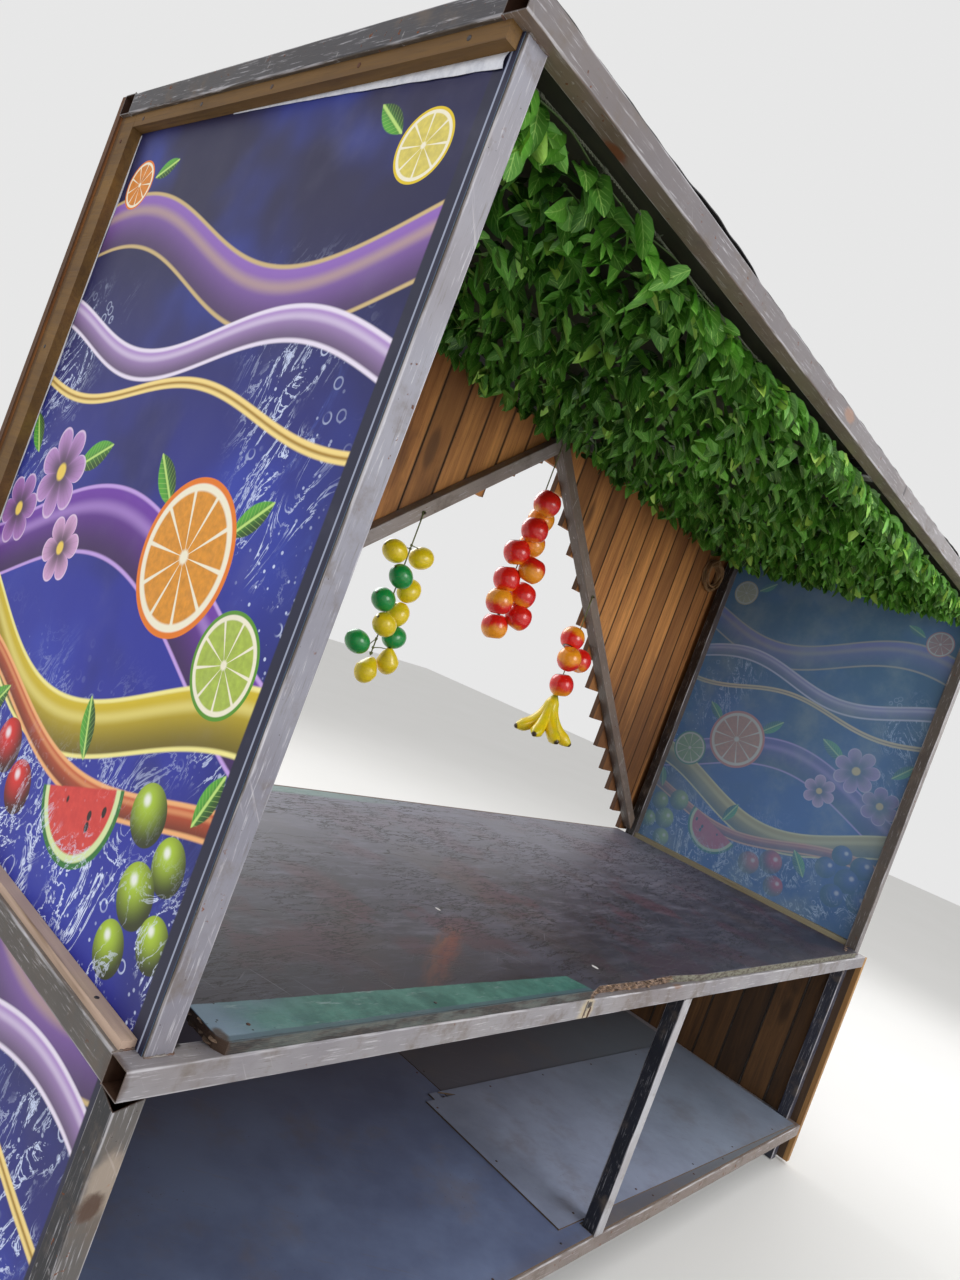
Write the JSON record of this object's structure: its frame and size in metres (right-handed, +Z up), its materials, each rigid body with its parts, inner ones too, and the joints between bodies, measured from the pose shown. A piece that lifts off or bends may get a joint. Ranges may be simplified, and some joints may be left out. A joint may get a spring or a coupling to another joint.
{
  "type": "street kiosk",
  "caption": "Open-fronted market stall of welded square tube with a counter, a low shelf, printed end banners, a boarded back, hanging fruit garlands and a leaf canopy.",
  "frame": {"origin": "bottom centre of the kiosk's bounding box, on the ground under its middle", "axes": "+X along the counter to the customer's right, -Y to the open front, +Z up"},
  "size_m": [2.905, 1.068, 2.1448],
  "materials": {
    "steel": "worn light grey paint with rust specks",
    "boards": "orange-brown stained softwood, matte",
    "batten": "ochre varnished softwood",
    "counter": "worn dark film-faced plywood",
    "shelf_sheet": "white-faced hardboard, stained",
    "banner": "printed coated cloth, satin",
    "ceiling": "dark raw plywood",
    "roofing": "black roofing sheet",
    "leaves": "artificial leaves, satin",
    "lemon": "glossy",
    "apple": "glossy",
    "string": "matte twine"
  },
  "bodies": {
    "root": {"front_counter_rail": "steel", "back_counter_rail": "steel", "counter_side_rails": "steel", "front_left_leg": "steel", "front_right_leg": "steel", "back_left_leg": "steel", "back_right_leg": "steel", "front_middle_leg": "steel", "shelf_front_rail": "steel", "shelf_back_rail": "steel", "shelf_cross_rails": "steel", "front_left_post": "steel", "front_right_post": "steel", "back_left_post": "steel", "back_right_post": "steel", "roof_front_rail": "steel", "roof_back_rail": "steel", "roof_cross_rails": "steel", "left_brace": "steel", "right_brace": "steel", "back_left_boards": "boards", "back_right_boards": "boards", "lower_back_boards": "boards", "right_end_boards": "boards", "right_corner_timber": "batten", "counter_board": "counter", "shelf_left_sheet": "shelf_sheet", "shelf_right_sheet": "shelf_sheet", "shelf_top_sheet": "shelf_sheet", "left_upper_banner": "banner", "right_upper_banner": "banner", "left_lower_banner": "banner", "left_end_battens": "batten", "right_end_battens": "batten", "ceiling_board": "ceiling", "roof_cover": "roofing", "ivy_mat": "leaves", "left_garland_fruit": "lemon", "centre_garland_fruit": "apple", "right_garland_fruit": "apple", "left_garland_string": "string", "centre_garland_string": "string", "right_garland_string": "string"}
  },
  "joints": []
}
